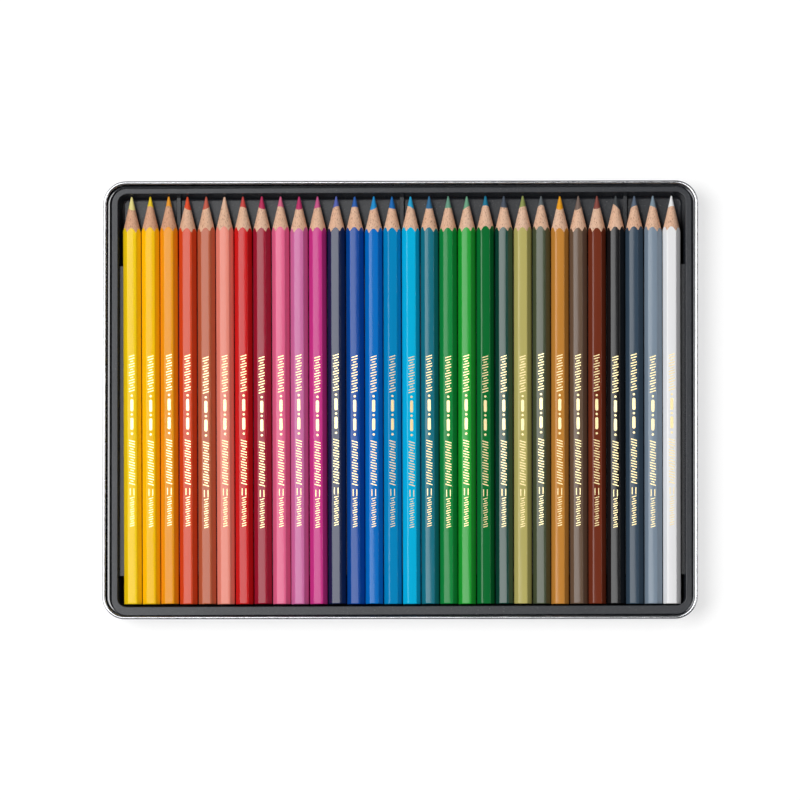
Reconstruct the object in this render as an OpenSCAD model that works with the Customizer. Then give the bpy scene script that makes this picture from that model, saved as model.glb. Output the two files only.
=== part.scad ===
// Flat tin of coloured pencils, without its lift-off lid: a drawn tinplate pan with a rolled rim,
// a liner tray formed from one plastic sheet, and one layer of hexagonal pencils. Millimetres.
// The case is sized round the pencils: +X runs along the row, +Y towards the points, +Z up.
// The origin is at the centre of the pan's outline, on the surface that it stands on.

/* [Pencils] */
// Length of a pencil from butt to point
pencil_length = 175.5; // [120:0.5:220]
// Thickness across two flats
pencil_flats = 6.9; // [6:0.05:9]
// Radius of the six rounded edges
edge_radius = 0.85; // [0.4:0.05:1.5]
// Free space between the edges of two neighbours
pencil_gap = 0.3; // [0.2:0.05:1.5]
// Diameter of the coloured core
core_diameter = 2.9; // [2:0.1:4]
// Film of glue round the core
glue_film = 0.05; // [0.04:0.01:0.1]
// Length of the sharpened cone, from the point to the cusps of the lacquer
cone_length = 15.4; // [10:0.1:25]
// Radius of the blunted point
point_radius = 0.35; // [0.2:0.05:0.8]
// Rounding of the dipped butt
butt_rounding = 0.9; // [0.4:0.05:1.5]
// Lacquer and wood that close the butt over the core
butt_cap = 0.6; // [0.4:0.05:2]

/* [Liner tray] */
// Thickness of the formed sheet
sheet = 0.6; // [0.4:0.05:1]
// Draft of every formed wall, in degrees
draft = 8; // [3:0.5:12]
// Depth of the finger wells below the pencils
well_depth = 4.5; // [4.4:0.1:10]
// Height of the ridges between two pencils
ridge_height = 1.8; // [1:0.1:2.4]
// Clearance between the sides of a pencil and its groove
groove_clearance = 0.2; // [0.1:0.05:0.4]
// Free space under a pencil in its groove, and under the tray in the tin
seat_clearance = 0.1; // [0.05:0.05:0.3]
// Height of the border above the ridges
border_height = 5; // [3:0.1:8]
// Length of the well under the points
point_well = 29.5; // [20:0.5:50]
// Length of the well under the butts
butt_well = 12.8; // [8:0.2:40]
// Strip of shelf outside the first and the last pencil
side_strip = 1.2; // [0.8:0.1:6]
// Free space between the ends of the pencils and the walls
end_clearance = 0.35; // [0.3:0.05:3]
// Flat border at the left and right
side_border = 2.85; // [2:0.05:12]
// Flat border behind the points
back_border = 2.3; // [2:0.1:12]
// Flat border in front of the butts
front_border = 2.9; // [2:0.1:12]
// Depth of the skirt outside the border, down to the lip
skirt_depth = 3; // [1.5:0.1:4.4]
// Width of the lip outside the skirt at the left and right
side_lip = 0.95; // [0.6:0.05:3]
// Width of the lip outside the skirt at the back
back_lip = 0.6; // [0.6:0.1:3]
// Fall of the lip towards its edge, in degrees
lip_slope = 4; // [0:1:15]
// Corner radius of the recess at its floor
recess_corner = 2.4; // [2:0.1:8]
// Rounding where the walls meet the well floors
foot_rounding = 1; // [0.6:0.1:1.5]
// Rounding of the border's inner edge
mouth_rounding = 0.3; // [0.2:0.05:0.8]
// Rounding of the border's outer edge
shoulder_rounding = 0.3; // [0.3:0.05:1.2]
// Width of the flat top of a stiffening rib in the point well
rib_width = 1.6; // [1.3:0.1:4]
// Height of a stiffening rib above the well floor
rib_height = 2.8; // [1:0.1:4]
// Pencils between the middle rib and each outer rib
rib_spacing = 12; // [4:1:14]

/* [Tin] */
// Thickness of the tinplate
tinplate = 0.4; // [0.3:0.05:0.5]
// Diameter of the rolled rim
rim_diameter = 1.6; // [1.4:0.1:3]
// Height of the rim above the border of the tray
rim_above_border = 1; // [0.5:0.1:5]
// Corner radius of the tin, measured over the rim
tin_corner = 10; // [9:0.5:20]
// Outer radius of the bend between the foot and the wall
foot_bend = 1.6; // [1:0.1:3]
// Width of the flat foot inside that bend
foot_width = 4; // [2:0.1:5]
// Rise of the stiffened panel inside the foot
panel_rise = 0.4; // [0.2:0.05:1]
// Free space between the tray and the wall of the tin
tray_clearance = 0.3; // [0.2:0.05:1]

/* [Hidden] */
$fn = 48;

// Names and lacquers of the pencils, in the order of the row from -X to +X
PENCILS = [
    ["lemon_yellow", [0.97, 0.82, 0.15]],
    ["golden_yellow", [0.97, 0.75, 0.08]],
    ["orange", [0.93, 0.58, 0.10]],
    ["vermilion", [0.84, 0.28, 0.12]],
    ["terracotta", [0.74, 0.38, 0.26]],
    ["salmon", [0.88, 0.50, 0.45]],
    ["scarlet", [0.78, 0.12, 0.12]],
    ["crimson", [0.62, 0.12, 0.20]],
    ["pink", [0.86, 0.38, 0.54]],
    ["lilac", [0.80, 0.42, 0.64]],
    ["magenta", [0.78, 0.22, 0.52]],
    ["navy", [0.10, 0.14, 0.24]],
    ["ultramarine", [0.08, 0.27, 0.58]],
    ["azure", [0.06, 0.42, 0.74]],
    ["cerulean", [0.04, 0.50, 0.73]],
    ["sky_blue", [0.06, 0.70, 0.88]],
    ["teal", [0.10, 0.46, 0.52]],
    ["green", [0.08, 0.54, 0.26]],
    ["light_green", [0.12, 0.64, 0.22]],
    ["emerald", [0.05, 0.42, 0.20]],
    ["dark_green", [0.06, 0.26, 0.22]],
    ["olive_yellow", [0.70, 0.66, 0.38]],
    ["olive_grey", [0.28, 0.31, 0.22]],
    ["ochre", [0.74, 0.50, 0.20]],
    ["umber", [0.42, 0.34, 0.27]],
    ["sienna", [0.42, 0.20, 0.13]],
    ["black", [0.07, 0.07, 0.08]],
    ["slate_blue", [0.20, 0.27, 0.33]],
    ["steel_grey", [0.49, 0.55, 0.60]],
    ["white", [0.87, 0.88, 0.88]],
];
count = len(PENCILS);

function pencil_node(i) = str("pencil_", i < 9 ? "0" : "", i + 1, "_", PENCILS[i][0]);

// How far a cutter runs past what it cuts
cut = 1;
// How far the turned outline of a pencil stays outside its rounded edges
turning_margin = 0.05;
// Slope of the step between the foot and the panel of the tin, in degrees
step_slope = 45;
// How far round the gap between the end of the roll and the wall reaches, in degrees
rim_opening = 75;
// How dark a core is beside its lacquer
core_shade = 0.85;
// Steps in a quarter of a small rounding
steps = 4;
// Half the angle at a corner of the hexagon's outline, seen from the pencil's axis
half_side = 30;

// Lengths in plan are kept to a hundredth, so that straight and turned stretches meet exactly
function hundredth(v) = round(100 * v) / 100;

// Points along an arc about [x, y], from one angle to another
function arc(x, y, r, from, to) =
    [for (i = [0:steps]) let (a = from + (to - from) * i / steps) [x + r * cos(a), y + r * sin(a)]];

// The row of pencils
corner_reach = pencil_flats / 2 / cos(half_side);
across_edges = 2 * corner_reach - 2 * edge_radius * (1 / cos(half_side) - 1);
pitch = hundredth(across_edges + pencil_gap);
row_length = (count - 1) * pitch + across_edges;
function pencil_x(i) = (i - (count - 1) / 2) * pitch;
function ridge_x(k) = (k - count / 2) * pitch;

// Levels, from the surface that the tin stands on
taper = tan(draft);
pan_floor = panel_rise + tinplate;
tray_foot = pan_floor + seat_clearance;
well_floor = tray_foot + sheet;
pencil_foot = well_floor + well_depth;
groove_floor = pencil_foot - seat_clearance;
axis_height = pencil_foot + pencil_flats / 2;
ridge_top = groove_floor + ridge_height;
border_top = ridge_top + border_height;
lip_foot = border_top - skirt_depth - sheet;
rim_top = border_top + rim_above_border;

// Half sizes in plan, at the border for the recess and at the lip for the tray
recess_x = hundredth(row_length / 2 + side_strip + border_height * taper);
recess_y = hundredth(pencil_length / 2 + end_clearance + (border_top - pencil_foot) * taper);
recess_r = hundredth(recess_corner + (border_top - well_floor) * taper);
flare = hundredth((skirt_depth + sheet) * taper);
tray_x = recess_x + side_border + flare + side_lip;
tray_back = recess_y + back_border + flare + back_lip;
tray_front = recess_y + front_border + flare;
tray_y = (tray_back + tray_front) / 2;
tray_corner = tin_corner - rim_diameter - tray_clearance;
skirt_corner = tray_corner - max(side_lip, back_lip);
tin_x = tray_x + tray_clearance + rim_diameter;
tin_y = tray_y + tray_clearance + rim_diameter;
// The row lies off the tin's centre by half the difference between the back and the front border
row_y = (tray_front - tray_back) / 2;

// The pencil rest between the two wells
rest_back = pencil_length / 2 - point_well;
rest_front = butt_well - pencil_length / 2;

// A flat shape swept round a rectangle with turned corners. The shape's x is measured outwards from
// the corners' axes, which stand at half_x, half_y.
module around(half_x, half_y) {
    for (turn = [0:3]) {
        across = turn % 2 == 0 ? half_x : half_y;
        along = turn % 2 == 0 ? half_y : half_x;
        rotate(90 * turn)
            translate([across, 0, 0])
                rotate([90, 0, 0])
                    linear_extrude(2 * along, center = true)
                        children();
        rotate(90 * turn)
            translate([across, along, 0])
                rotate_extrude(angle = 90)
                    children();
    }
}

// A block with turned corners, whose side is a list of points from its foot to its top
module rounded_block(half_x, half_y, side) {
    low = side[0].y;
    high = side[len(side) - 1].y;
    around(half_x, half_y)
        polygon(concat([[0, low]], side, [[0, high]]));
    translate([-half_x, -half_y, low])
        cube([2 * half_x, 2 * half_y, high - low]);
}

// A shape drawn in X and Z, extruded to and fro along Y
module along_y(length) {
    rotate([90, 0, 0])
        linear_extrude(length, center = true)
            children();
}

// ---- Tin pan: one drawn sheet, from the panel and foot up the wall to the rolled rim ----

// Section of the sheet, with x measured from the outermost line of the rim
module pan_section() {
    wall_face = tinplate - rim_diameter;
    bend_x = wall_face - foot_bend;
    foot_end = bend_x - foot_width;
    step_end = foot_end - panel_rise / tan(step_slope);
    mitre = tinplate * tan(step_slope / 2);
    curl_height = rim_top - rim_diameter / 2;
    polygon([
        [bend_x, 0],
        [foot_end, 0],
        [step_end, panel_rise],
        [-tin_corner, panel_rise],
        [-tin_corner, pan_floor],
        [step_end + mitre, pan_floor],
        [foot_end + mitre, tinplate],
        [bend_x, tinplate],
    ]);
    translate([bend_x, foot_bend])
        intersection() {
            difference() {
                circle(foot_bend);
                circle(foot_bend - tinplate);
            }
            translate([0, -foot_bend])
                square(foot_bend);
        }
    translate([-rim_diameter, foot_bend])
        square([tinplate, curl_height - foot_bend]);
    translate([-rim_diameter / 2, curl_height])
        difference() {
            circle(rim_diameter / 2);
            circle(rim_diameter / 2 - tinplate);
            polygon([
                [0, 0],
                [-rim_diameter, 0],
                rim_diameter * [cos(180 + rim_opening), sin(180 + rim_opening)],
            ]);
        }
}

module tin_pan() {
    half_x = tin_x - tin_corner;
    half_y = tin_y - tin_corner;
    color("silver") {
        around(half_x, half_y)
            translate([tin_corner, 0])
                pan_section();
        translate([-half_x, -half_y, panel_rise])
            cube([2 * half_x, 2 * half_y, tinplate]);
    }
}

// ---- Liner tray: a single sheet, made as each form less the same form set in by the sheet ----

// Half width of a ridge at a height, set in from its flanks, which follow the pencils' lower sides
function ridge_half(z, inset) =
    pitch / 2 - corner_reach + (axis_height - z) * tan(half_side)
    - (groove_clearance + inset) / cos(half_side);

// The raised border and its skirt, as a block
module border_form(inset) {
    corner = skirt_corner - flare - inset;
    back = tray_back - back_lip - flare;
    front = tray_front - flare;
    top = border_top - inset;
    foot = lip_foot - (inset > 0 ? cut : 0);
    rounding = inset > 0 ? 0 : shoulder_rounding;
    lean = rounding / tan(45 + draft / 2);
    translate([0, (back - front) / 2, 0])
        rounded_block(
            recess_x + side_border - inset - corner,
            (back + front) / 2 - inset - corner,
            concat(
                [[corner + (border_top - foot) * taper, foot]],
                arc(corner - lean, top - rounding, rounding, draft, 90)
            )
        );
}

// The lip that runs round the skirt, with its upper side falling towards the edge
module lip_form() {
    translate([0, -row_y, 0])
        around(tray_x - tray_corner, tray_y - tray_corner)
            polygon([
                [0, lip_foot],
                [tray_corner, lip_foot],
                [tray_corner, lip_foot + sheet],
                [0, lip_foot + sheet + tray_corner * tan(lip_slope)],
            ]);
}

// The recess with rounded feet, grown by the sheet for the outside of its walls
module recess_form(growth) {
    corner = recess_r + growth;
    floor_height = well_floor - growth;
    radius = foot_rounding + growth;
    foot_x = corner - (border_top - floor_height) * taper - radius / tan(45 + draft / 2);
    mouth = mouth_rounding / tan(45 + draft / 2);
    rounded_block(
        recess_x - recess_r,
        recess_y - recess_r,
        concat(
            arc(foot_x, floor_height + radius, radius, -90, -draft),
            growth > 0
                ? [[corner, border_top]]
                : arc(corner + mouth, border_top - mouth_rounding, mouth_rounding, 180 - draft, 90),
            growth > 0 ? [] : [[corner + mouth, border_top + cut]]
        )
    );
}

// The pencil rest: ridges across its width, drafted ends towards the wells
module rest_form(inset) {
    reach = recess_x + 2 * sheet;
    top = ridge_top - inset;
    low = groove_floor - inset;
    foot = tray_foot - cut;
    top_half = ridge_half(top, inset);
    low_half = ridge_half(low, inset);
    intersection() {
        along_y(pencil_length)
            polygon(concat(
                [
                    [-reach, foot],
                    [-reach, top],
                    [ridge_x(0) + top_half, top],
                    [ridge_x(0) + low_half, low],
                ],
                [for (k = [1:count - 1]) each [
                    [ridge_x(k) - low_half, low],
                    [ridge_x(k) - top_half, top],
                    [ridge_x(k) + top_half, top],
                    [ridge_x(k) + low_half, low],
                ]],
                [
                    [ridge_x(count) - low_half, low],
                    [ridge_x(count) - top_half, top],
                    [reach, top],
                    [reach, foot],
                ]
            ));
        rotate(90)
            along_y(2 * reach + cut)
                polygon([
                    [rest_front + inset - (ridge_top - foot) * taper, foot],
                    [rest_back - inset + (ridge_top - foot) * taper, foot],
                    [rest_back - inset + (ridge_top - border_top) * taper, border_top],
                    [rest_front + inset - (ridge_top - border_top) * taper, border_top],
                ]);
    }
}

// The stiffening ribs across the point well, in line with gaps between pencils
module rib_forms(inset) {
    foot = tray_foot - cut;
    top = well_floor + rib_height - inset;
    half_top = rib_width / 2 - inset;
    half_foot = half_top + (top - foot) * taper;
    run_start = rest_back - cut;
    run_end = recess_y + 2 * sheet;
    middle = round(count / 2);
    for (k = [middle - rib_spacing, middle, middle + rib_spacing])
        translate([ridge_x(k), (run_start + run_end) / 2, 0])
            along_y(run_end - run_start)
                polygon([[-half_foot, foot], [half_foot, foot], [half_top, top], [-half_top, top]]);
}

module liner_tray() {
    color([0.08, 0.08, 0.09])
        translate([0, row_y, 0])
            difference() {
                union() {
                    difference() {
                        union() {
                            border_form(0);
                            lip_form();
                        }
                        border_form(sheet);
                    }
                    recess_form(sheet);
                }
                difference() {
                    recess_form(0);
                    rest_form(0);
                    rib_forms(0);
                }
                rest_form(sheet);
                rib_forms(sheet);
            }
}

// ---- Pencils: a hexagonal casing with a bore, and the core glued into it ----

// The outline of a pencil that is turned and sharpened, as radii along its axis from the butt
module turned_form() {
    outer = across_edges / 2 + turning_margin;
    shoulder = pencil_length - point_radius
        - (outer - point_radius) * (cone_length - point_radius) / (across_edges / 2 - point_radius);
    rotate_extrude()
        polygon(concat(
            [[0, 0]],
            arc(outer - butt_rounding, butt_rounding, butt_rounding, -90, 0),
            [[outer, shoulder]],
            arc(0, pencil_length - point_radius, point_radius, 0, 90)
        ));
}

// The six rounded edges joined by flats, with a flat up and a flat down
module hexagon_outline() {
    centre_reach = (pencil_flats / 2 - edge_radius) / cos(half_side);
    polygon([
        for (side = [0:5]) each
            arc(
                centre_reach * cos(2 * half_side * side),
                centre_reach * sin(2 * half_side * side),
                edge_radius,
                half_side * (2 * side - 1),
                half_side * (2 * side + 1)
            )
    ]);
}

module casing() {
    difference() {
        intersection() {
            linear_extrude(pencil_length)
                hexagon_outline();
            turned_form();
        }
        translate([0, 0, butt_cap - glue_film])
            cylinder(h = pencil_length, r = core_diameter / 2 + glue_film);
    }
}

module core() {
    intersection() {
        translate([0, 0, butt_cap])
            cylinder(h = pencil_length, r = core_diameter / 2);
        turned_form();
    }
}

module pencil(i) {
    translate([pencil_x(i), row_y - pencil_length / 2, axis_height])
        rotate([-90, 0, 0]) {
            color(PENCILS[i][1])
                casing();
            color(core_shade * PENCILS[i][1])
                core();
        }
}

tin_pan();
liner_tray();
for (i = [0:count - 1])
    pencil(i);
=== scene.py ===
import math
import random

import bpy
from mathutils import Matrix, Vector


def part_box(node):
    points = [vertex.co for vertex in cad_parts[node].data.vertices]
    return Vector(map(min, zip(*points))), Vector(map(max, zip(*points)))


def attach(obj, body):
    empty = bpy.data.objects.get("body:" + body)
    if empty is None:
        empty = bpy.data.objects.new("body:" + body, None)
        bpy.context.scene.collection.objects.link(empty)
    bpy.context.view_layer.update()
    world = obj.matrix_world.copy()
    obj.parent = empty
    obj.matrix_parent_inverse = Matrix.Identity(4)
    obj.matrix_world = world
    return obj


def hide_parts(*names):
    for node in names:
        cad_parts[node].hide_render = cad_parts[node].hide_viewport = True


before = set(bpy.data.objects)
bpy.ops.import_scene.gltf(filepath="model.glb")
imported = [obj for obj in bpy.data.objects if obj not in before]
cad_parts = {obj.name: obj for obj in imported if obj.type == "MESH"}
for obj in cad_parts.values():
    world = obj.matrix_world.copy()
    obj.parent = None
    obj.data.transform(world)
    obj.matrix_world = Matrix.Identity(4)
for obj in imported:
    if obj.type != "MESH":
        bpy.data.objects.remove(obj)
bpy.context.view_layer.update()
mm = 0.001


# ---- Tin pan ----
# The pan is drawn from one sheet of bright tinplate. Its edge is rolled outwards into a bead, and a
# low step inside the foot stiffens the bottom. The tinplate is rolled, so fine lines run along it.

class Wire:
    """An output of a finish's nodes. Sums, products and powers of wires and numbers add Math nodes."""

    def __init__(self, tree, socket=None):
        self.tree = tree
        self.socket = socket

    def feed(self, socket, value):
        """Links a wire to a socket, or sets the socket to a number, a place or a colour."""
        if isinstance(value, Wire):
            self.tree.links.new(value.socket, socket)
        elif socket.type == "RGBA":
            socket.default_value = (*value[:3], 1)
        else:
            socket.default_value = value

    def node(self, kind, settings=None, *values, output=None, **named):
        """Adds a node of this kind: its settings, then its sockets in order or by name."""
        made = self.tree.nodes.new("ShaderNode" + kind)
        for setting, value in (settings or {}).items():
            setattr(made, setting, value)
        for socket, value in zip([s for s in made.inputs if s.enabled], values):
            self.feed(socket, value)
        for name, value in named.items():
            self.feed(made.inputs[name.replace("_", " ")], value)
        shown = {s.name: s for s in reversed(made.outputs) if s.enabled}
        return Wire(self.tree, shown[output] if output else list(shown.values())[-1])

    def math(self, operation, *values):
        return self.node("Math", {"operation": operation}, *values)

    def mix(self, first, second):
        """The first colour where this wire is 0, and the second where it is 1."""
        return self.node("Mix", {"data_type": "RGBA"}, self, first, second)

    def __add__(self, other):
        return self.math("ADD", self, other)

    def __sub__(self, other):
        return self.math("SUBTRACT", self, other)

    def __rsub__(self, other):
        return self.math("SUBTRACT", other, self)

    def __mul__(self, other):
        return self.math("MULTIPLY", self, other)

    def __pow__(self, other):
        return self.math("POWER", self, other)

    __radd__ = __add__
    __rmul__ = __mul__


def finish(name, **constants):
    """A new material with these constant sockets, its shader, and a wire of each point's place in metres."""
    made = bpy.data.materials.new(name)
    made.use_nodes = True
    tree = made.node_tree
    shader = tree.nodes["Principled BSDF"]
    for socket, value in constants.items():
        Wire(tree).feed(shader.inputs[socket.replace("_", " ")], value)
    return made, shader, Wire(tree).node("TexCoord", output="Object")


def grain(place, scale, detail=2, stretch=(1, 1, 1)):
    """Noise from 0 to 1, with this many grains to the metre, times the stretch along each axis."""
    stretched = place.node("VectorMath", {"operation": "MULTIPLY"}, place, stretch)
    return place.node("TexNoise", None, Vector=stretched, Scale=scale, Detail=detail)


def dress(shader, colour, roughness, height, depth, strength):
    """Feeds a shader its colour and roughness, and a relief of this depth from a wire of heights."""
    height.feed(shader.inputs["Base Color"], colour)
    height.feed(shader.inputs["Roughness"], roughness)
    relief = height.node("Bump", None, Strength=strength, Distance=depth, Height=height)
    height.feed(shader.inputs["Normal"], relief)


def dye(red, green, blue):
    """A colour given on a scale of 0 to 255, as the light that it returns."""
    shares = [c / 255 for c in (red, green, blue)]
    return tuple(c / 12.92 if c < 0.04045 else ((c + 0.055) / 1.055) ** 2.4 for c in shares)


def arc(x, z, radius, start, end, steps):
    """Points along an arc in a section, between two angles in degrees."""
    angles = [math.radians(start + (end - start) * i / steps) for i in range(steps + 1)]
    return [(x + radius * math.cos(a), z + radius * math.sin(a)) for a in angles]


def round_corners(corners, steps=3):
    """A section's line through corners (x, z, radius), with an arc at each corner that has a radius."""
    line = [corners[0][:2]]
    for before, (x, z, radius), after in zip(corners, corners[1:], corners[2:]):
        if radius == 0:
            line.append((x, z))
            continue
        here = Vector((x, z))
        back = (Vector(before[:2]) - here).normalized()
        on = (Vector(after[:2]) - here).normalized()
        half = back.angle(on) / 2
        run = radius / math.tan(half)
        centre = here + (back + on).normalized() * radius / math.sin(half)
        start = here + back * run - centre
        end = here + on * run - centre
        turn = start.angle_signed(end)
        for i in range(steps + 1):
            spoke = start.copy()
            spoke.rotate(Matrix.Rotation(-turn * i / steps, 2))
            line.append(tuple(centre + spoke))
    return line + [corners[-1][:2]]


def outline(half_x, half_y, corner, z, turn_steps=12, side_steps=6):
    """A rounded rectangle at a height, as points anticlockwise from low on the right-hand side."""
    points = []
    for quarter in range(4):
        across, along = (half_x, half_y) if quarter % 2 == 0 else (half_y, half_x)
        turned = Matrix.Rotation(math.radians(90 * quarter), 2)
        side = [(across, (along - corner) * (2 * i / side_steps - 1)) for i in range(1, side_steps)]
        bend = arc(across - corner, along - corner, corner, 0, 90, turn_steps)
        points += [turned @ Vector(p) for p in side + bend]
    return [Vector((p.x, p.y, z)) for p in points]


def loft(rings, capped=False):
    """Faces between rings of equally many points: two flat ends if capped, or else closed into a loop."""
    count = len(rings[0])
    points = [p for ring in rings for p in ring]
    faces = []
    for r in range(len(rings) - 1 if capped else len(rings)):
        after = (r + 1) % len(rings)
        for i in range(count):
            j = (i + 1) % count
            faces.append((r * count + i, r * count + j, after * count + j, after * count + i))
    if capped:
        faces.append(tuple(reversed(range(count))))
        faces.append(tuple(range((len(rings) - 1) * count, len(rings) * count)))
    return points, faces


def make(name, points, faces, materials, sharp_angle=180):
    """A smooth-shaded piece from its points and faces, with creases where it turns by more than an angle."""
    mesh = bpy.data.meshes.new(name)
    mesh.from_pydata(points, [], faces)
    mesh.polygons.foreach_set("use_smooth", [True] * len(faces))
    mesh.set_sharp_from_angle(angle=math.radians(sharp_angle))
    for material in materials:
        mesh.materials.append(material)
    piece = bpy.data.objects.new(name, mesh)
    bpy.context.scene.collection.objects.link(piece)
    return piece


tin_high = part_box("tin_pan")[1]
tinplate = 0.4 * mm
bead = 0.8 * mm
tin_corner = 10 * mm
foot_bend = 1.6 * mm
foot_width = 4 * mm
panel_rise = 0.4 * mm
panel_edge = tin_corner - 0.2 * mm
step_bend = 0.5 * mm
step_mitre = 0.17 * mm
wall_outer = 1.5 * bead
wall_inner = 2 * bead
wall_levels = [4 * mm, 8 * mm]
bead_height = tin_high.z - bead
foot_start = wall_outer + foot_bend
foot_end = foot_start + foot_width

# The section goes from the upper side of the panel out and up the inside of the wall, over the
# bead, and down the outside to the under side of the panel. Its x is measured inwards.
tin_section = round_corners([
    (panel_edge, panel_rise + tinplate, 0),
    (foot_end + panel_rise - step_mitre, panel_rise + tinplate, step_bend),
    (foot_end - step_mitre, tinplate, step_bend),
    (foot_start, tinplate, 0),
])
tin_section += arc(foot_start, foot_bend, foot_bend - tinplate, 270, 180, 6)
tin_section += [(wall_inner, z) for z in wall_levels]
tin_section += arc(bead, bead_height, bead, 0, 300, 20)
tin_section += [(wall_outer, z) for z in reversed(wall_levels)]
tin_section += arc(foot_start, foot_bend, foot_bend, 180, 270, 6)
tin_section += round_corners([
    (foot_start, 0, 0),
    (foot_end, 0, step_bend),
    (foot_end + panel_rise, panel_rise, step_bend),
    (panel_edge, panel_rise, 0),
])[1:]
tin_rings = [
    outline(tin_high.x - inset, tin_high.y - inset, tin_corner - inset, z) for inset, z in tin_section
]
tinplate_finish, shader, place = finish("tinplate", Metallic=1, Specular_IOR_Level=0.5)
rolled = grain(place, 1, 3, (30, 900, 900))
cloud = grain(place, 45, 3)
scratch = grain(place, 1, 4, (60, 2500, 400)) ** 6
rubbed = grain(place, 700)
bright = (cloud * 0.4 + rolled * 0.24).mix(dye(214, 215, 218), dye(196, 198, 202))
sheen = cloud * 0.1 + rolled * 0.1 + scratch * 1.5 + 0.06
waves = grain(place, 60, 1) * 1.2 + rolled * 0.015 + rubbed * 0.01
dress(shader, bright, sheen, waves, 0.1 * mm, 0.35)
pan = make("tin_pan_drawn", *loft(tin_rings, capped=True), [tinplate_finish], 50)
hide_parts("tin_pan")
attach(pan, "tin")


# ---- Liner tray ----
# The tray is formed from one sheet of black plastic over a mould: a raised border with a skirt and
# a lip, a well at each end for the fingers, and a grooved rest. Its finish is an even satin.

liner_finish, shader, place = finish("satin_black_sheet", IOR=1.48, Specular_IOR_Level=0.5)
cloud = grain(place, 60, 3)
fine = grain(place, 3500)
dust = grain(place, 1800, 3) ** 14
black = (dust * 30).mix(dye(39, 42, 48), dye(120, 120, 120))
dress(shader, black, cloud * 0.08 + fine * 0.06 + 0.16, fine + cloud * 3, 0.02 * mm, 0.3)

# The sheet is the solid's own, with its border drawn finer: it is a little narrower at the sides, and in
# front it reaches from close behind the butts to close before the tin's wall. A point's shift grows with
# its height, and is whole where the point lies far enough beyond the corner of the mouth.
mouth_corner = Vector((117.8, 85.1)) * mm
whole_shift_beyond = 1 * mm
border_middle = 5.4 * mm
border_top = 12.7 * mm
wall_foot = 6 * mm
side_mouth_shift = 0.25 * mm
front_mouth_shift = -0.45 * mm
front_edge_shift = 0.42 * mm
border_lie = 0.3 * mm
tray_aside = 0.25 * mm
tray_turn = math.radians(0.12)
tray_lie = Matrix.Translation((tray_aside, 0, 0)) @ Matrix.Rotation(tray_turn, 4, "Z")


def drawn_out(p):
    """A point of the sheet after the border's edges have been moved outwards by their shifts."""
    beyond = Vector((max(abs(p.x) - mouth_corner.x, 0), max(abs(p.y) - mouth_corner.y, 0)))
    rise = max(0, min(1, (p.z - wall_foot) / (border_top - wall_foot)))
    share = beyond * rise / max(beyond.length, whole_shift_beyond)
    if beyond.length < border_middle:
        x_shift, front_shift = side_mouth_shift, front_mouth_shift
    else:
        x_shift, front_shift = 0, front_edge_shift
    y_shift = front_shift if p.y < 0 else 0
    return p + Vector((math.copysign(1, p.x) * x_shift * share.x + border_lie * rise, -y_shift * share.y, 0))


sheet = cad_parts["liner_tray"].data
points = [tray_lie @ drawn_out(v.co) for v in sheet.vertices]
faces = [tuple(face.vertices) for face in sheet.polygons]
tray = make("liner_tray_formed", points, faces, [liner_finish], 25)
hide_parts("liner_tray")
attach(tray, "tray")


# ---- Beading of the liner tray's lip ----
# The edge of the tray's lip is turned up and pressed into a bead, which stands in the gutter between
# the border and the tin's wall. Its top slopes outwards, its inner edge is broken, and it shines.

lip_half = Vector((126.05, 92.3)) * mm
lip_corner = 8 * mm
lip_level = 9.3 * mm
beading_top = 12 * mm
beading_slope = 0.17 * mm
broken_edge = 0.07 * mm
beading_width = Vector((0.85, 0.42)) * mm

# How far a point lies across the beading, from 0 at the outer wall to 1 at the inner one, and its height
beading_section = [
    (0, lip_level),
    (0, beading_top - beading_slope),
    (0.9, beading_top),
    (1, beading_top - broken_edge),
    (1, lip_level),
]
beading_rings = []
for across, z in beading_section:
    half = lip_half - across * beading_width
    ring = outline(half.x, half.y, lip_corner - across * (beading_width.x + beading_width.y) / 2, z)
    beading_rings.append([tray_lie @ p for p in ring])
polished_finish, shader, place = finish(
    "polished_black_edge", IOR=1.6, Specular_IOR_Level=0.5, Coat_Weight=1, Coat_IOR=1.8, Coat_Roughness=0.1
)
dust = grain(place, 1800, 3) ** 8
place.feed(shader.inputs["Base Color"], dust.mix(dye(40, 42, 47), dye(90, 90, 92)))
place.feed(shader.inputs["Roughness"], grain(place, 60, 3) * 0.1 + 0.15)
beading = make("liner_tray_beading", *loft(beading_rings), [polished_finish], 50)
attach(beading, "tray")


# ---- Pencils ----
# Thirty hexagonal pencils: two halves of cedar glued round a coloured core, lacquered in the core's
# colour, sharpened to a cone that leaves six arches of lacquer, and stamped with marks in gold foil.

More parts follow.
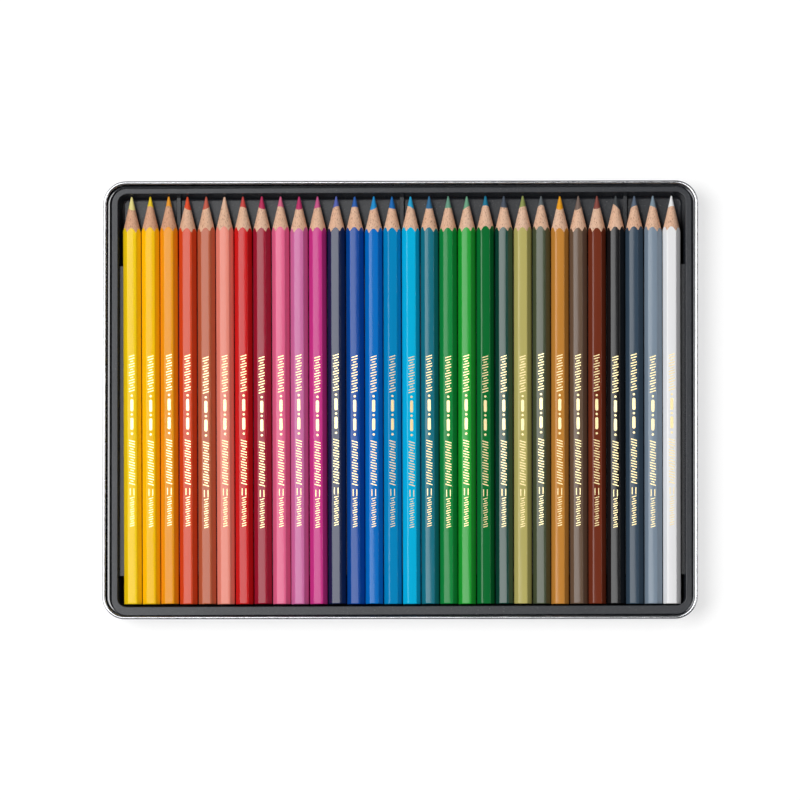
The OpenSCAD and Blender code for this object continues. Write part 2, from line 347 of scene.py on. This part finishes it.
# Name, lacquer, core, how far the pencil is turned in its groove in degrees, and how glossy it is. The
# lacquers started as readings of the photograph's pencils, and some of them were then changed
# to bring the render closer. The cores were chosen one by one.
PENCILS = [
    ("lemon_yellow", (252, 210, 20), (248, 235, 150), -0.5, 0.3),
    ("golden_yellow", (252, 196, 12), (255, 218, 30), -0.5, 0.2),
    ("orange", (240, 155, 20), (250, 165, 35), -1.5, 0.3),
    ("vermilion", (216, 70, 30), (240, 82, 40), -2, 0.55),
    ("terracotta", (190, 96, 62), (210, 98, 78), -2.5, 0.5),
    ("salmon", (238, 140, 122), (240, 195, 165), -1, 0.45),
    ("scarlet", (207, 25, 27), (215, 75, 70), -1, 0.5),
    ("crimson", (160, 25, 50), (200, 45, 95), -1.5, 0.5),
    ("pink", (232, 102, 144), (230, 105, 145), -1, 0.5),
    ("lilac", (207, 110, 165), (200, 50, 110), -1, 0.5),
    ("magenta", (205, 52, 138), (215, 90, 145), -1.2, 0.45),
    ("navy", (18, 34, 76), (90, 105, 190), -3, 0.9),
    ("ultramarine", (8, 74, 160), (40, 100, 185), -1.3, 0.5),
    ("azure", (5, 114, 200), (15, 150, 220), 0, 0.4),
    ("cerulean", (5, 138, 196), (10, 110, 190), 3.5, 0.3),
    ("sky_blue", (8, 184, 230), (30, 175, 225), 3.5, 0.3),
    ("teal", (22, 115, 133), (50, 115, 160), -0.3, 0.6),
    ("green", (18, 138, 63), (110, 165, 140), -0.6, 0.4),
    ("light_green", (28, 163, 50), (115, 175, 140), -1.5, 0.6),
    ("emerald", (10, 112, 50), (15, 125, 160), 2.5, 0.6),
    ("dark_green", (12, 66, 54), (75, 85, 100), -2, 1),
    ("olive_yellow", (190, 180, 106), (150, 160, 85), 0.5, 0.35),
    ("olive_grey", (71, 80, 57), (100, 108, 112), -2.5, 0.7),
    ("ochre", (202, 136, 56), (250, 170, 20), 0.5, 0.5),
    ("umber", (107, 85, 68), (125, 105, 95), -1.5, 0.6),
    ("sienna", (118, 50, 30), (145, 75, 65), 1.5, 0.5),
    ("black", (22, 22, 24), (70, 75, 78), -2, 0.7),
    ("slate_blue", (56, 74, 91), (95, 110, 130), -1.5, 0.55),
    ("steel_grey", (128, 144, 160), (135, 155, 170), -1.5, 0.55),
    ("white", (242, 242, 243), (255, 255, 255), 1.5, 0.5),
]

# Flecked cedar. That of the first four pencils is browner than the rest.
cedar_finish, shader, place = finish("cedar", IOR=1.45, Specular_IOR_Level=0.3)
tone = grain(place, 190, 1, (1, 0.05, 1))
fibre = grain(place, 1, 4, (2600, 160, 2600))
fleck = grain(place, 1, 2, (3200, 700, 3200)) ** 7
pale = tone.mix(dye(255, 226, 200), dye(244, 190, 152))
browner = tone.mix(dye(246, 204, 172), dye(226, 164, 126))
left_end = place.node("SeparateXYZ", None, place, output="X") * -60 - 5
streaked = (fibre * 0.45).mix(left_end.mix(pale, browner), dye(196, 140, 110))
marked = (fleck * 10).mix(streaked, dye(150, 98, 74))
dress(shader, marked, 0.78 - fibre * 0.15, fibre - fleck * 3, 0.08 * mm, 0.7)

foil_finish, shader, place = finish("foil", Metallic=1)
rub = grain(place, 2600, 3)
place.feed(shader.inputs["Base Color"], rub.mix(dye(255, 240, 190), dye(240, 214, 150)))
place.feed(shader.inputs["Roughness"], rub * 0.3 + 0.22)


def lacquer(name, colour, gloss):
    """Glossy lacquer over wood: long faint ripples that thin its colour, and a little dust in the gloss."""
    made, shader, place = finish(
        "lacquer_" + name, IOR=1.5, Specular_IOR_Level=gloss / 2, Coat_Roughness=0.05, Coat_IOR=1.5
    )
    depth = grain(place, 1, 2, (300, 12, 300))
    speck = grain(place, 2400)
    full = tuple(c / 0.9 for c in colour)
    thin = tuple(0.86 * c for c in full)
    ripples = grain(place, 1, 2, (420, 30, 420)) + speck * 0.08
    dress(shader, depth.mix(thin, full), depth * 0.05 + speck * 0.05 + 0.06, ripples, 0.05 * mm, 0.25)
    place.feed(shader.inputs["Coat Weight"], 0.25 - speck * 0.2)
    return made


def pigment(name, colour):
    """A waxy core, with the fine rings that the sharpener leaves."""
    made, shader, place = finish("core_" + name, IOR=1.45, Specular_IOR_Level=0.4)
    clumps = grain(place, 1800, 3)
    rings = grain(place, 1, 2, (300, 9000, 300))
    body = (clumps * 0.5).mix(colour, tuple(0.7 * c for c in colour))
    dress(shader, body, clumps * 0.25 + 0.38, clumps + rings * 0.5, 0.06 * mm, 0.6)
    return made


edge_radius = 0.7 * mm
crown = 0.028 * mm
flat_steps = 8
edge_steps = 4


def hexagon(flats):
    """The outline of a pencil with rounded edges and slightly crowned flats, one up and one down."""
    reach = (flats / 2 - crown - edge_radius) / math.cos(math.radians(30))
    corners = []
    for side in range(6):
        angle = math.radians(60 * side)
        x, z = reach * math.cos(angle), reach * math.sin(angle)
        corners.append(arc(x, z, edge_radius, 60 * side - 30, 60 * side + 30, edge_steps))
    points = []
    for bend, following in zip(corners, corners[1:] + corners[:1]):
        start, end = Vector(bend[-1]), Vector(following[0])
        points += [Vector(p) for p in bend]
        outward = (start + end).normalized() * crown
        for i in range(1, flat_steps):
            share = i / flat_steps
            points.append(start.lerp(end, share) + outward * 4 * share * (1 - share))
    return points


foil_sunk = 0.01 * mm
foil_thickness = 0.02 * mm
foil_slant = 0.3
fine_pitch, fine_stroke = 1 * mm, 0.36 * mm
bold_pitch, bold_stroke = 1.15 * mm, 0.42 * mm
bar_length, bar_width, bar_corner = 5.2 * mm, 1.3 * mm, 0.6 * mm
dash_length, dash_width, dash_corner = 3 * mm, 0.35 * mm, 0.15 * mm
dash_aside = 0.8 * mm
dot = 1 * mm


def plate(points, faces, along, across, length, width, corner, slant=0):
    """Adds a thin rounded plate of foil to a list of points and faces, sheared along the pencil."""
    half_x, half_y = width / 2, length / 2
    ring = []
    for x_sign, y_sign, start in ((1, 1, 0), (-1, 1, 90), (-1, -1, 180), (1, -1, 270)):
        bend = arc(x_sign * (half_x - corner), y_sign * (half_y - corner), corner, start, start + 90, 3)
        ring += [(across + x, along + y + slant * x) for x, y in bend]
    first = len(points)
    count = len(ring)
    points += [Vector((x, y, z)) for z in (-foil_sunk, foil_thickness) for x, y in ring]
    faces.append(tuple(first + i for i in reversed(range(count))))
    faces.append(tuple(first + count + i for i in range(count)))
    for i in range(count):
        j = (i + 1) % count
        faces.append((first + i, first + j, first + count + j, first + count + i))


def hatch(points, faces, start, pitch, widths, stroke, slant):
    """Adds a row of slanted strokes of foil, each as wide as its entry says in millimetres."""
    for i, width in enumerate(widths):
        plate(points, faces, start + i * pitch, 0, stroke, width * mm, 0.4 * stroke, slant)


def foil_marks():
    """Plain marks along the upper flat, by their distance from the butt: hatching, dashes, dots and bars."""
    points, faces = [], []
    hatch(points, faces, 33.5 * mm, fine_pitch, [2, 2, 1.2] * 4 + [2], fine_stroke, foil_slant)
    for across in (-dash_aside, dash_aside):
        plate(points, faces, 48 * mm, across, dash_length, dash_width, dash_corner)
    hatch(points, faces, 51.5 * mm, bold_pitch, [2.6, 1.5, 2.6, 2.6] * 4 + [2.6], bold_stroke, -foil_slant)
    for along in (73 * mm, 81.3 * mm, 89.4 * mm):
        plate(points, faces, along, 0, dot, dot, 0.499 * dot)
    for along in (77.3 * mm, 85.3 * mm):
        plate(points, faces, along, 0, bar_length, bar_width, bar_corner)
    hatch(points, faces, 91.5 * mm, bold_pitch, [2.6, 2.6, 1.5] * 4 + [2.6, 2.6], bold_stroke, foil_slant)
    return points, faces


core_radius = 1.45 * mm
cone_slope = math.radians(13.1)
cone_steps = 8
core_steps = 6
point_radius = 0.34 * mm
butt_rounding = 0.4 * mm
side_shares = (0.3, 0.6, 0.9, 0.98)
bore_depth = 1.2 * mm
bore_share = 0.85
core_depth = 1 * mm
core_share = 0.8
core_fit = 0.998

# How the pencils differ, with turns in degrees. All are shifted a little to the right and towards their
# tips, and those at the left end of the row are shifted further and lean to the left.
length_loss = 0.1 * mm
turn_spread = 0.2
end_lean = 0.4
lean_spread = 0.05
end_shift = 0.36 * mm
row_shift = (0.27 * mm, 0.39 * mm)
tipward_shift = (0.05 * mm, 0.2 * mm)
centre_spread = 0.1 * mm
core_spread = 0.16 * mm
black_core_aside = 0.36 * mm
cut_wander = 0.035 * mm
foil_aside = 0.15 * mm
foil_slide = 0.6 * mm
draw = random.Random(30)


def about_zero(most):
    """A random number up to this far from zero, on either side."""
    return draw.uniform(-most, most)


def cone_ring(centre, spokes, reaches, tip):
    """A ring on the cone that ends at the tip: a point for each spoke, at its own reach from the centre."""
    ring = []
    for spoke, reach in zip(spokes, reaches):
        x, z = centre + spoke * reach
        ring.append(Vector((x, tip.y - (reach - tip.x) / math.tan(cone_slope), z)))
    return ring


def drawn_in(ring, share, depth):
    """A ring shrunk to a share of its width and moved down the pencil by a depth."""
    return [Vector((share * p.x, p.y - depth, share * p.z)) for p in ring]


for number, (name, lacquer_colour, core_colour, turned, gloss) in enumerate(PENCILS, start=1):
    body = f"pencil_{number:02d}"
    node = f"{body}_{name}"
    low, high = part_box(node)
    length = high.y - low.y - draw.uniform(0, length_loss)

    # The pencil is drawn along y with its butt at the origin, and is then seated in its groove
    roll = Matrix.Rotation(math.radians(turned + about_zero(turn_spread)), 4, "Y")
    slack = 1 - number / 40
    lean = Matrix.Rotation(math.radians(end_lean * slack + about_zero(lean_spread)), 4, "Z")
    shift = Vector((end_shift * slack + draw.uniform(*row_shift), draw.uniform(*tipward_shift), 0))
    axis = Vector(((low.x + high.x) / 2, low.y, (low.z + high.z) / 2))
    middle = Vector((0, length / 2, 0))
    seat = Matrix.Translation(axis + shift + middle) @ lean @ Matrix.Translation(-middle) @ roll

    # The cone is cut about a centre a little off the casing's, and the core lies a little off both, on
    # the black pencil so far that its cut is askew. The spokes run from the cone's centre outwards.
    centre = Vector((about_zero(centre_spread), about_zero(centre_spread)))
    core_centre = Vector((about_zero(core_spread), about_zero(core_spread)))
    if name == "black":
        core_centre.x = black_core_aside
    blunt = point_radius * draw.uniform(0.85, 1.25)
    ball = length - blunt
    tip = Vector((blunt * math.cos(cone_slope), ball + blunt * math.sin(cone_slope)))
    shape = hexagon(high.z - low.z)
    spokes = [(p - centre).normalized() for p in shape]
    casing_edge = [(p - centre).length for p in shape]
    core_edge = []
    for i, spoke in enumerate(spokes):
        gap = centre - core_centre
        ahead = gap.dot(spoke)
        wander = cut_wander * math.sin(3 * i + number) * draw.uniform(0.2, 1)
        core_edge.append(math.sqrt(ahead ** 2 - gap.length_squared + core_radius ** 2) - ahead + wander)

    # The casing: its rounded butt, its sides up to the arches, its cone, and the mouth of its bore. From
    # the arches on it is bare cedar, and the cut edge of the lacquer is sharp.
    rings = []
    for turn in range(0, 91, 15):
        inset = butt_rounding * (1 - math.sin(math.radians(turn)))
        y = butt_rounding * (1 - math.cos(math.radians(turn)))
        rings.append([(p.x * (1 - inset / p.length), y, p.y * (1 - inset / p.length)) for p in shape])
    arches = cone_ring(centre, spokes, casing_edge, tip)
    for share in side_shares:
        rings.append([(p.x, share * a.y + (1 - share) * butt_rounding, p.y) for p, a in zip(shape, arches)])
    lacquered = len(rings) * len(shape)
    for step in range(cone_steps + 1):
        reaches = [a + (c - a) * step / cone_steps for a, c in zip(casing_edge, core_edge)]
        rings.append(cone_ring(centre, spokes, reaches, tip))
    mouth = rings[-1]
    rings.append(drawn_in(mouth, bore_share, bore_depth))
    points, faces = loft(rings, capped=True)
    finishes = [lacquer(name, dye(*lacquer_colour), gloss), cedar_finish]
    casing = make(node + "_casing", [seat @ Vector(p) for p in points], faces, finishes, 40)
    for face in casing.data.polygons:
        if lacquered <= face.index < len(faces) - 2 or face.index == len(faces) - 1:
            face.material_index = 1
    cut = range(lacquered, lacquered + len(shape))
    for edge in casing.data.edges:
        if edge.vertices[0] in cut and edge.vertices[1] in cut:
            edge.use_edge_sharp = True
    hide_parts(node)
    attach(casing, body)

    # The core: an end inside the bore, the rest of the cone, and a blunt point
    rings = [drawn_in(mouth, core_share, core_depth)]
    for step in range(core_steps + 1):
        reaches = [c * core_fit + (tip.x - c) * step / core_steps for c in core_edge]
        rings.append(cone_ring(centre, spokes, reaches, tip))
    for turn in range(20, 90, 12):
        reach = blunt * math.cos(math.radians(turn))
        y = ball + blunt * math.sin(math.radians(turn))
        rings.append([(centre.x + s.x * reach, y, centre.y + s.y * reach) for s in spokes])
    points, faces = loft(rings, capped=True)
    core_finish = pigment(name, dye(*core_colour))
    core = make(node + "_core", [seat @ Vector(p) for p in points], faces, [core_finish], 40)
    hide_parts(node)
    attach(core, body)

    # The foil: the same marks on the upper flat of each pencil, stamped a little off their place
    points, faces = foil_marks()
    on_flat = Matrix.Translation((about_zero(foil_aside), about_zero(foil_slide), (high.z - low.z) / 2))
    foil = make(node + "_foil", [seat @ on_flat @ p for p in points], faces, [foil_finish], 30)
    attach(foil, body)


# ---- Floor, lights and camera ----
# The tin lies on a pale floor. A large soft light hangs at the upper left, just clear of the camera,
# and a narrow one at the right lights the faces and edges that look away from it.

floor_half = 20
floor_gap = 0.02 * mm
floor_finish, shader, place = finish(
    "pale_floor", Base_Color=(0.5, 0.5, 0.5), Roughness=0.9, Emission_Color=(1, 1, 1), Emission_Strength=0.62
)
corners = [(x * floor_half, y * floor_half, -floor_gap) for x, y in ((-1, -1), (1, -1), (1, 1), (-1, 1))]
floor = make("floor", corners, [(0, 1, 2, 3)], [floor_finish])

world = bpy.data.worlds.new("room")
world.use_nodes = True
bpy.context.scene.world = world
world.node_tree.nodes["Background"].inputs["Color"].default_value = (1, 1, 1, 1)
world.node_tree.nodes["Background"].inputs["Strength"].default_value = 0.09


def facing(back, up=Vector((0, 1, 0))):
    """A turn whose z axis runs along back, and whose x axis is at right angles to up."""
    right = up.cross(back).normalized()
    return Matrix((right, back.cross(right), back)).transposed()


def softbox(name, centre, width, depth, turn, radiance):
    """A lamp that faces the tin, turned about its own axis, as bright as a lit white of that radiance."""
    lamp = bpy.data.lights.new(name, "AREA")
    lamp.shape = "RECTANGLE"
    lamp.size = width
    lamp.size_y = depth
    lamp.energy = radiance * math.pi * width * depth
    holder = bpy.data.objects.new(name, lamp)
    aim = facing(Vector(centre).normalized()) @ Matrix.Rotation(math.radians(turn), 3, "Z")
    holder.matrix_world = Matrix.Translation(centre) @ aim.to_4x4()
    bpy.context.scene.collection.objects.link(holder)


softbox("key", centre=(-2.02, 0.29, 3.89), width=3.68, depth=3.68, turn=13, radiance=4.45)
softbox("edge_light", centre=(1.9, 0.2, 1.8), width=0.16, depth=2.4, turn=0, radiance=8)

camera_distance = 8
camera_lean = Vector((0.05, -0.065))
camera_roll = -0.0018
picture_width = 0.3432
sensor_width = 36
camera_data = bpy.data.cameras.new("camera")
camera_data.sensor_width = sensor_width
camera_data.lens = sensor_width * camera_distance / picture_width
camera_data.clip_end = 100
camera = bpy.data.objects.new("camera", camera_data)
bpy.context.scene.collection.objects.link(camera)
bpy.context.scene.camera = camera
back = Vector((camera_lean.x, camera_lean.y, math.sqrt(1 - camera_lean.length_squared)))
aim = facing(back, Vector((camera_roll, 1, 0)))
target = Vector((-0.1, -0.08, 0)) * mm + Vector((0, 0, bead_height))
camera.matrix_world = Matrix.Translation(target + back * camera_distance) @ aim.to_4x4()

bpy.context.scene.view_settings.view_transform = "Standard"
